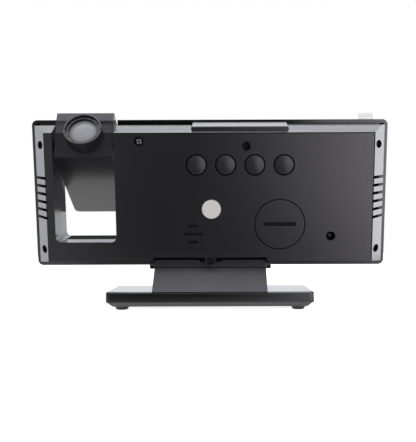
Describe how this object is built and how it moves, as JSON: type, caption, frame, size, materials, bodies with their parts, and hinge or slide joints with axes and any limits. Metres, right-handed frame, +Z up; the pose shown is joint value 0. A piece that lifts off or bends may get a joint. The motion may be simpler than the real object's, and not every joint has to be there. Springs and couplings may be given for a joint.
{
  "type": "projection alarm clock",
  "caption": "Slim alarm clock head that tilts on a pedestal stand, with a projector swinging in an open window of the head, push buttons, snooze bar and battery door.",
  "frame": {"origin": "on the table, under the centre of the clock's overall box", "axes": "+X along the clock towards the projector's side, +Y towards the back, +Z up"},
  "size_m": [0.1924, 0.0656, 0.1072],
  "materials": {
    "case_black": "satin",
    "frame_black": "gloss",
    "stand_black": "gloss",
    "key_black": "satin",
    "foot_rubber": "matt",
    "panel": "polished",
    "film": "polished",
    "display_white": "matt",
    "lit_digit": "glowing",
    "dark_digit": "matt",
    "board_green": "satin",
    "component_black": "satin",
    "cell_steel": "brushed",
    "screw_steel": "satin",
    "weight_steel": "brushed",
    "strip_silver": "satin",
    "sticker_paper": "matt",
    "bush_nylon": "satin",
    "tube_steel": "satin",
    "lead_black": "satin",
    "optics_black": "matt",
    "lens_glass": "polished",
    "lcd_glass": "polished"
  },
  "bodies": {
    "stand": {"base_cover": "stand_black", "base_plate": "stand_black", "base_weight": "weight_steel", "rubber_feet": "foot_rubber", "base_screws": "screw_steel", "stand_neck": "stand_black", "neck_screws": "screw_steel", "hinge_pins": "tube_steel"},
    "head": {"front_frame": "frame_black", "rear_cover": "case_black", "display_lens": "panel", "screen_film": "film", "display_block": "display_white", "lit_bars": "lit_digit", "dark_bars": "dark_digit", "main_board": "board_green", "board_parts": "component_black", "board_screws": "screw_steel", "button_board": "board_green", "button_switches": "component_black", "snooze_board": "board_green", "snooze_switch": "component_black", "buzzer": "component_black", "coin_cell": "cell_steel", "battery_contacts": "cell_steel", "power_inlet": "component_black", "case_screws": "screw_steel", "rating_sticker": "sticker_paper", "pivot_bushes": "bush_nylon", "projector_cable": "lead_black"},
    "projector": {"projector_front_shell": "frame_black", "projector_rear_shell": "frame_black", "projector_screws": "screw_steel", "pivot_tubes": "tube_steel", "optics_tube": "optics_black", "projector_lcd": "lcd_glass", "condenser_lens": "lens_glass", "led_board": "board_green"},
    "focus": {"focus_ring": "optics_black", "projection_lens": "lens_glass"},
    "key_1": {"key_1": "key_black"},
    "key_2": {"key_2": "key_black"},
    "key_3": {"key_3": "key_black"},
    "key_4": {"key_4": "key_black"},
    "snooze": {"snooze_bar": "case_black", "snooze_strip": "strip_silver"},
    "battery_door": {"battery_door": "case_black"}
  },
  "joints": [
    {"name": "head_tilt", "type": "hinge", "parent": "stand", "child": "head", "pos_m": [0, 0.0107, 0.0241], "axis": [1, 0, 0], "range_deg": [-12, 8]},
    {"name": "projector_swing", "type": "hinge", "parent": "head", "child": "projector", "pos_m": [0, 0.0138, 0.08938], "axis": [1, 0, 0], "range_deg": [-38, 142]},
    {"name": "focus_turn", "type": "hinge", "parent": "projector", "child": "focus", "pos_m": [0.06605, 0.02564, 0.09385], "axis": [0, 0.8682, 0.4962], "range_deg": [-90, 90]},
    {"name": "battery_door_twist", "type": "hinge", "parent": "head", "child": "battery_door", "pos_m": [-0.0372, 0.01993, 0.04524], "axis": [0, 0.9897, -0.1435], "range_deg": [0, 45]},
    {"name": "snooze_press", "type": "slide", "parent": "head", "child": "snooze", "axis": [0, -0.1435, -0.9897], "range_m": [0, 0.0007], "stiffness_N_per_m": 600, "springref_m": -0.0005},
    {"name": "key_1_press", "type": "slide", "parent": "head", "child": "key_1", "axis": [0, -0.9897, 0.1435], "range_m": [0, 0.0007], "stiffness_N_per_m": 500, "springref_m": -0.0005},
    {"name": "key_2_press", "type": "slide", "parent": "head", "child": "key_2", "axis": [0, -0.9897, 0.1435], "range_m": [0, 0.0007], "stiffness_N_per_m": 500, "springref_m": -0.0005},
    {"name": "key_3_press", "type": "slide", "parent": "head", "child": "key_3", "axis": [0, -0.9897, 0.1435], "range_m": [0, 0.0007], "stiffness_N_per_m": 500, "springref_m": -0.0005},
    {"name": "key_4_press", "type": "slide", "parent": "head", "child": "key_4", "axis": [0, -0.9897, 0.1435], "range_m": [0, 0.0007], "stiffness_N_per_m": 500, "springref_m": -0.0005}
  ]
}
